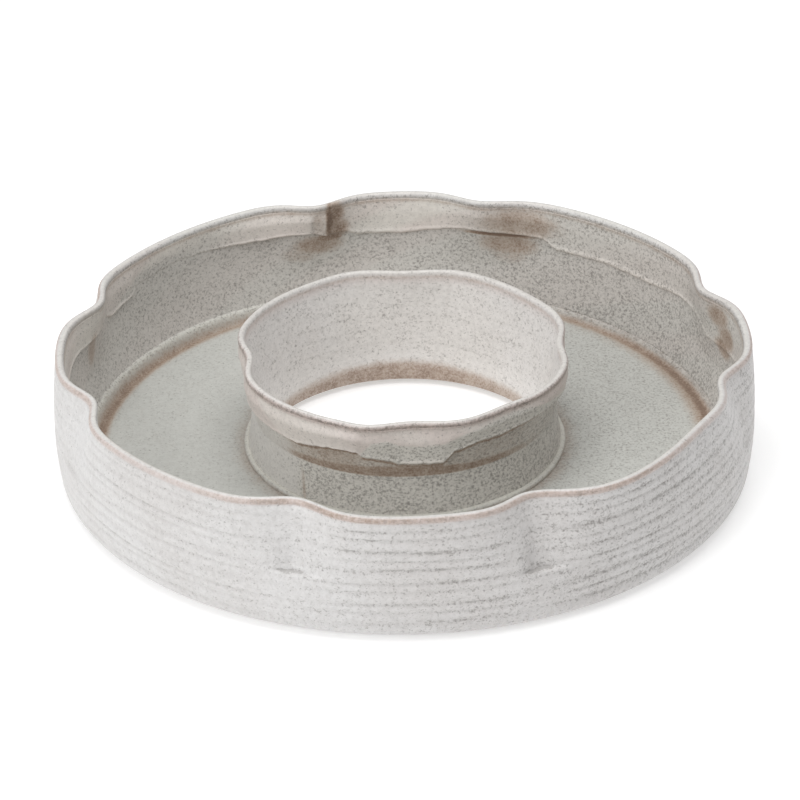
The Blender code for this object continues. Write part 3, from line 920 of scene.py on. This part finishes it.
def speckle_group():
    """Dark grains, a little longer round the pot than up it, whose number follows Density."""
    tree, given, result = new_group(
        "Iron speckle", [("Position", VECTOR, None), ("Density", FLOAT, 0.5)], [("Mask", FLOAT)])
    place = flattened(tree, given.outputs["Position"], 1.2)
    fine = noise(tree, place, 680.0, 2.0, 0.8)
    clumps = noise(tree, place, 90.0, 2.0, 0.6)
    level = math_node(tree, 'MULTIPLY_ADD', clumps, 0.17, fine)
    bar = math_node(tree, 'MULTIPLY_ADD', given.outputs["Density"], -0.17, 0.665)
    grains = smooth_step(tree, math_node(tree, 'SUBTRACT', level, bar), 0.0, 0.24)
    tree.links.new(grains, result.inputs["Mask"])
    return tree


def broken_line_group():
    """Dashes along the throwing grooves, over an even painted shade that follows Line."""
    tree, given, result = new_group(
        "Broken throwing line", [("Position", VECTOR, None), ("Line", FLOAT, 0.0)], [("Mask", FLOAT)])
    dashes = noise(tree, flattened(tree, given.outputs["Position"], 7.0), 110.0, 4.0, 0.65)
    grain = noise(tree, given.outputs["Position"], 620.0, 2.0, 0.7)
    both = math_node(tree, 'ADD', scaled(tree, dashes, 2.0), scaled(tree, grain, 2.4))
    broken = math_node(tree, 'SUBTRACT', both, 1.2)
    dashed = smooth_step(tree, math_node(tree, 'MULTIPLY', given.outputs["Line"], broken), 0.62, 1.24)
    # The even part is painted shade along the grooves.
    even = scaled(tree, given.outputs["Line"], 0.24)
    tree.links.new(math_node(tree, 'MAXIMUM', dashed, even), result.inputs["Mask"])
    return tree


def ragged_group():
    """Paint comes out as an even tint and as a mask of grains, both stronger where paint is."""
    tree, given, result = new_group(
        "Ragged mask", [("Position", VECTOR, None), ("Paint", FLOAT, 0.0), ("Grain", FLOAT, 0.8)],
        [("Mask", FLOAT), ("Tint", FLOAT)])
    fine = noise(tree, given.outputs["Position"], 850.0, 3.0, 0.75)
    coarse = noise(tree, given.outputs["Position"], 150.0, 2.0, 0.5)
    mixed = math_node(tree, 'ADD', scaled(tree, fine, 0.75), scaled(tree, coarse, 0.25))
    swing = scaled(tree, math_node(tree, 'SUBTRACT', mixed, 0.5), given.outputs["Grain"])
    level = math_node(tree, 'ADD', given.outputs["Paint"], swing)
    tree.links.new(smooth_step(tree, level, 0.64, 1.44), result.inputs["Mask"])
    tree.links.new(smooth_step(tree, level, 0.0, 1.0), result.inputs["Tint"])
    return tree


def cloud_group():
    """Slow clouds of tint as Mask, and the fine mottle of a reactive glaze as Mottle."""
    tree, given, result = new_group(
        "Glaze clouds", [("Position", VECTOR, None)], [("Mask", FLOAT), ("Mottle", FLOAT)])
    broad = noise(tree, given.outputs["Position"], 14.0, 3.0, 0.55)
    tree.links.new(smooth_step(tree, broad, 0.35, 0.65), result.inputs["Mask"])
    fine = noise(tree, given.outputs["Position"], 400.0, 3.0, 0.8)
    tree.links.new(smooth_step(tree, fine, 0.34, 0.70), result.inputs["Mottle"])
    return tree


def skin_group():
    """Height and roughness of a semi-matt glaze, lower and duller where iron breaks through."""
    tree, given, result = new_group(
        "Glaze skin", [("Position", VECTOR, None), ("Iron", FLOAT, 0.0)],
        [("Height", FLOAT), ("Roughness", FLOAT)])
    silk = noise(tree, given.outputs["Position"], 300.0, 3.0, 0.6)
    pits = noise(tree, given.outputs["Position"], 1400.0, 2.0, 0.5)
    skin = math_node(tree, 'MULTIPLY_ADD', pits, 0.35, silk)
    height = math_node(tree, 'MULTIPLY_ADD', given.outputs["Iron"], -0.25, skin)
    tree.links.new(height, result.inputs["Height"])
    uneven = math_node(tree, 'MULTIPLY_ADD', noise(tree, given.outputs["Position"], 90.0), 0.16, 0.34)
    dull = math_node(tree, 'MULTIPLY_ADD', given.outputs["Iron"], 0.15, uneven)
    tree.links.new(dull, result.inputs["Roughness"])
    return tree


GROUPS = {"speckle": speckle_group(), "line": broken_line_group(), "ragged": ragged_group(),
          "cloud": cloud_group(), "skin": skin_group()}
print("node groups:", ", ".join(tree.name for tree in GROUPS.values()))

# %% [markdown]
# ## The glaze
# One recipe serves every glazed piece, with its own colours: the glaze over light clay, the tint
# that clouds it, the grey-green it takes inside, the smooth cream of thick glaze, and the iron that
# breaks through. The colours are laid one over another, each where its mask is 1, so a layer can be
# changed or left out without touching the rest. The shader itself stays plain: a semi-matt glaze
# with a thin glossy coat.

# %% Helpers for materials
def blank_material(name):
    """A new material with its node tree, its shader and the object's own coordinates."""
    material = bpy.data.materials.new(name)
    material.use_nodes = True
    tree = material.node_tree
    place = tree.nodes.new("ShaderNodeTexCoord").outputs["Object"]
    return material, tree, tree.nodes["Principled BSDF"], place


def mix_colour(tree, mask, first, second):
    """second where mask is 1; colours are tuples or sockets."""
    node = tree.nodes.new("ShaderNodeMix")
    node.data_type = 'RGBA'
    tree.links.new(mask, node.inputs[0])
    for slot, colour in ((6, first), (7, second)):
        if isinstance(colour, tuple):
            node.inputs[slot].default_value = (*colour, 1.0)
        else:
            tree.links.new(colour, node.inputs[slot])
    return node.outputs[2]


def use_group(tree, key, **values):
    """Place a shared group and give back its outputs."""
    node = tree.nodes.new("ShaderNodeGroup")
    node.node_tree = GROUPS[key]
    for label, value in values.items():
        feed(tree, node.inputs[label], value)
    return node.outputs


def painted(tree, mask):
    """The value that a mask has on the mesh."""
    node = tree.nodes.new("ShaderNodeAttribute")
    node.attribute_name = mask
    return node.outputs["Fac"]


def add_bump(tree, shader, height, strength, distance):
    bump = tree.nodes.new("ShaderNodeBump")
    bump.inputs["Strength"].default_value = strength
    bump.inputs["Distance"].default_value = distance
    tree.links.new(height, bump.inputs["Height"])
    tree.links.new(bump.outputs["Normal"], shader.inputs["Normal"])


# %% The glaze recipe
IRON_DARK = (0.13, 0.070, 0.040)
IRON_LIGHT = (0.36, 0.25, 0.175)
SPECKLE_GREY = (0.17, 0.155, 0.14)
BLUSH = (0.69, 0.57, 0.54)


def glaze(name, white, cloud, inside, cream):
    """A glaze with its own white, the tint that clouds it, and its inside and cream colours."""
    material, tree, shader, place = blank_material(name)
    mask = {label: painted(tree, label) for label in MASKS}
    clouds = use_group(tree, "cloud", Position=place)
    speckle = use_group(tree, "speckle", Position=place, Density=mask["speckle"])
    dashes = use_group(tree, "line", Position=place, Line=mask["line"])
    tint = use_group(tree, "ragged", Position=place, Paint=mask["iron"], Grain=1.2)
    grains = use_group(tree, "ragged", Position=place, Paint=mask["iron"], Grain=2.6)

    body = mix_colour(tree, clouds["Mask"], white, cloud)
    layers = (
        (mask["inside"], 1.0, inside),
        (mask["cream"], 1.0, cream),
        (mask["blush"], 0.55, BLUSH),
        (clouds["Mottle"], 0.17, SPECKLE_GREY),
        (speckle["Mask"], 0.68, SPECKLE_GREY),
        (dashes["Mask"], 0.47, SPECKLE_GREY),
        (tint["Tint"], 0.75, IRON_LIGHT),
        (grains["Mask"], 0.68, IRON_DARK),
    )
    for where, strength, colour in layers:
        body = mix_colour(tree, scaled(tree, where, strength), body, colour)
    tree.links.new(body, shader.inputs["Base Color"])

    skin = use_group(tree, "skin", Position=place, Iron=grains["Mask"])
    tree.links.new(skin["Roughness"], shader.inputs["Roughness"])
    add_bump(tree, shader, skin["Height"], 0.5, 0.25 * MM)
    shader.inputs["Specular IOR Level"].default_value = 0.45
    shader.inputs["Coat Weight"].default_value = 0.12
    shader.inputs["Coat Roughness"].default_value = 0.3
    return material


def bare_clay(name, light, dark):
    """Unglazed stoneware: sandy grain and no gloss."""
    material, tree, shader, place = blank_material(name)
    grain = noise(tree, place, 700.0, 4.0, 0.7)
    body = mix_colour(tree, smooth_step(tree, grain, 0.35, 0.7), light, dark)
    speckle = use_group(tree, "speckle", Position=place, Density=0.35)
    body = mix_colour(tree, scaled(tree, speckle["Mask"], 0.6), body, IRON_DARK)
    tree.links.new(body, shader.inputs["Base Color"])
    add_bump(tree, shader, grain, 0.7, 0.3 * MM)
    shader.inputs["Roughness"].default_value = 0.85
    shader.inputs["Specular IOR Level"].default_value = 0.25
    return material


# %% [markdown]
# ## Dressing the pieces
# Each mesh takes its glaze, hides the solid that it stands for, and rides on the dish's one body,
# because nothing on a fired dish moves.

# %% The colours of each glaze
CREAM = (0.68, 0.665, 0.63)
INSIDE_GREY = (0.64, 0.62, 0.585)
SAGE = (0.53, 0.535, 0.505)

wall_glaze = glaze("chalk_white_glaze", (0.675, 0.67, 0.665), (0.635, 0.622, 0.612), INSIDE_GREY,
                   CREAM)
band_glaze = glaze("cream_band_glaze", (0.80, 0.765, 0.715), (0.76, 0.72, 0.665), INSIDE_GREY,
                   (0.84, 0.80, 0.745))
# The fold's glaze is a brightened copy of the band glaze: painted light for the shade under the flare.
brightened_fold_glaze = glaze("cream_fold_glaze_brightened", (0.86, 0.82, 0.775), (0.84, 0.79, 0.74), (0.79, 0.77, 0.72),
                   (0.90, 0.86, 0.81))
floor_glaze = glaze("sage_floor_glaze", (0.50, 0.45, 0.38), (0.46, 0.41, 0.34), SAGE, CREAM)
coil_glaze = glaze("pale_coil_glaze", SAGE, SAGE, INSIDE_GREY, (0.68, 0.67, 0.61))
collar_glaze = glaze("collar_glaze", (0.74, 0.725, 0.705), (0.70, 0.68, 0.65), (0.70, 0.68, 0.635),
                     (0.70, 0.685, 0.65))
foot_clay = bare_clay("bare_stoneware_clay", (0.50, 0.39, 0.29), (0.38, 0.28, 0.20))
print("materials:", ", ".join(material.name for material in bpy.data.materials))

# %% Give each piece its glaze and its place in the model
DRESSED = (
    (wall, "outer_wall", "wall_glaze", wall_glaze),
    (wall_band, "outer_rim_band", "band_glaze", band_glaze),
    (wall_coil, "wall_foot_coil", "coil_glaze", coil_glaze),
    (floor_piece, "floor_ring", "floor_glaze", floor_glaze),
    (collar_coil, "collar_foot_coil", "coil_glaze", coil_glaze),
    (collar, "inner_collar", "collar_glaze", collar_glaze),
    (collar_band, "collar_rim_band", "band_glaze", brightened_fold_glaze),
    (outer_foot, "outer_foot_ring", "bare_stoneware", foot_clay),
    (inner_foot, "inner_foot_ring", "bare_stoneware", foot_clay),
)
for piece, node, slot, material in DRESSED:
    piece.data.materials.append(material)
    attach(piece, "root")
    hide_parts(node)
print(len(DRESSED), "pieces dressed")

# %% [markdown]
# ## Studio
# The dish stands on a white sweep under a big soft light that fills its inside, with a lower one on
# the left to model the outer wall, and white all round. The sweep glows a little, as a back-lit
# table does, so that it stays white and only a faint shadow anchors the dish.

# %% Floor, lights and world
SWEEP_WHITE = 0.70
SWEEP_GLOW = 0.42
ROOM_BRIGHTNESS = 0.35


def build_sweep():
    """A flat white floor, just under the dish."""
    mesh = bpy.data.meshes.new("sweep")
    half = 4.0
    mesh.from_pydata([(-half, -half, 0), (half, -half, 0), (half, half, 0), (-half, half, 0)], [],
                     [(0, 1, 2, 3)])
    sweep = bpy.data.objects.new("sweep", mesh)
    bpy.context.scene.collection.objects.link(sweep)
    sweep.location.z = -0.2 * MM
    material = bpy.data.materials.new("white_sweep")
    material.use_nodes = True
    shader = material.node_tree.nodes["Principled BSDF"]
    shader.inputs["Base Color"].default_value = (SWEEP_WHITE, SWEEP_WHITE, SWEEP_WHITE, 1.0)
    shader.inputs["Roughness"].default_value = 0.9
    shader.inputs["Specular IOR Level"].default_value = 0.0
    shader.inputs["Emission Color"].default_value = (1.0, 1.0, 1.0, 1.0)
    shader.inputs["Emission Strength"].default_value = SWEEP_GLOW
    mesh.materials.append(material)


def soft_light(name, place, size, power):
    """A square light turned to the middle of the dish."""
    lamp = bpy.data.lights.new(name, 'AREA')
    lamp.shape = 'SQUARE'
    lamp.size = size
    lamp.energy = power
    holder = bpy.data.objects.new(name, lamp)
    holder.location = place
    aim = Vector((0, 0, 0.03)) - Vector(place)
    holder.rotation_euler = aim.to_track_quat('-Z', 'Y').to_euler()
    bpy.context.scene.collection.objects.link(holder)


build_sweep()
soft_light("overhead_light", (0.0, 0.0, 1.7), 1.5, 22)
soft_light("key_light", (-1.25, -1.25, 1.05), 1.0, 15.5)
world = bpy.data.worlds.new("white_room")
world.use_nodes = True
world.node_tree.nodes["Background"].inputs["Color"].default_value = (1, 1, 1, 1)
world.node_tree.nodes["Background"].inputs["Strength"].default_value = ROOM_BRIGHTNESS
bpy.context.scene.world = world
bpy.context.scene.view_settings.view_transform = 'Standard'
print("lights:", ", ".join(lamp.name for lamp in bpy.data.lights))

# %% [markdown]
# ## Camera
# A long lens looks down at the dish from the front, so that the rings keep their shape and the far
# rim isn't much smaller than the near one. It is turned a touch about its own axis.

# %% Camera
ELEVATION = radians(29.04)
DISTANCE = 1.55883
ROLL = radians(0.88)
AIM = Vector((-0.00209, 0.0, 0.02989))

back = Vector((0, -cos(ELEVATION), sin(ELEVATION)))
level, upward = Vector((1, 0, 0)), Vector((0, sin(ELEVATION), cos(ELEVATION)))
right = level * cos(ROLL) - upward * sin(ROLL)
up = level * sin(ROLL) + upward * cos(ROLL)
lens = bpy.data.cameras.new("camera")
lens.lens = 144.0
lens.sensor_width = 36.0
lens.clip_end = 20.0
camera = bpy.data.objects.new("camera", lens)
turn = Matrix((right, up, back)).transposed().to_4x4()
camera.matrix_world = Matrix.Translation(AIM + back * DISTANCE) @ turn
bpy.context.scene.collection.objects.link(camera)
bpy.context.scene.camera = camera
print(f"camera {DISTANCE:.2f} m from the dish, {lens.lens:.0f} mm lens")
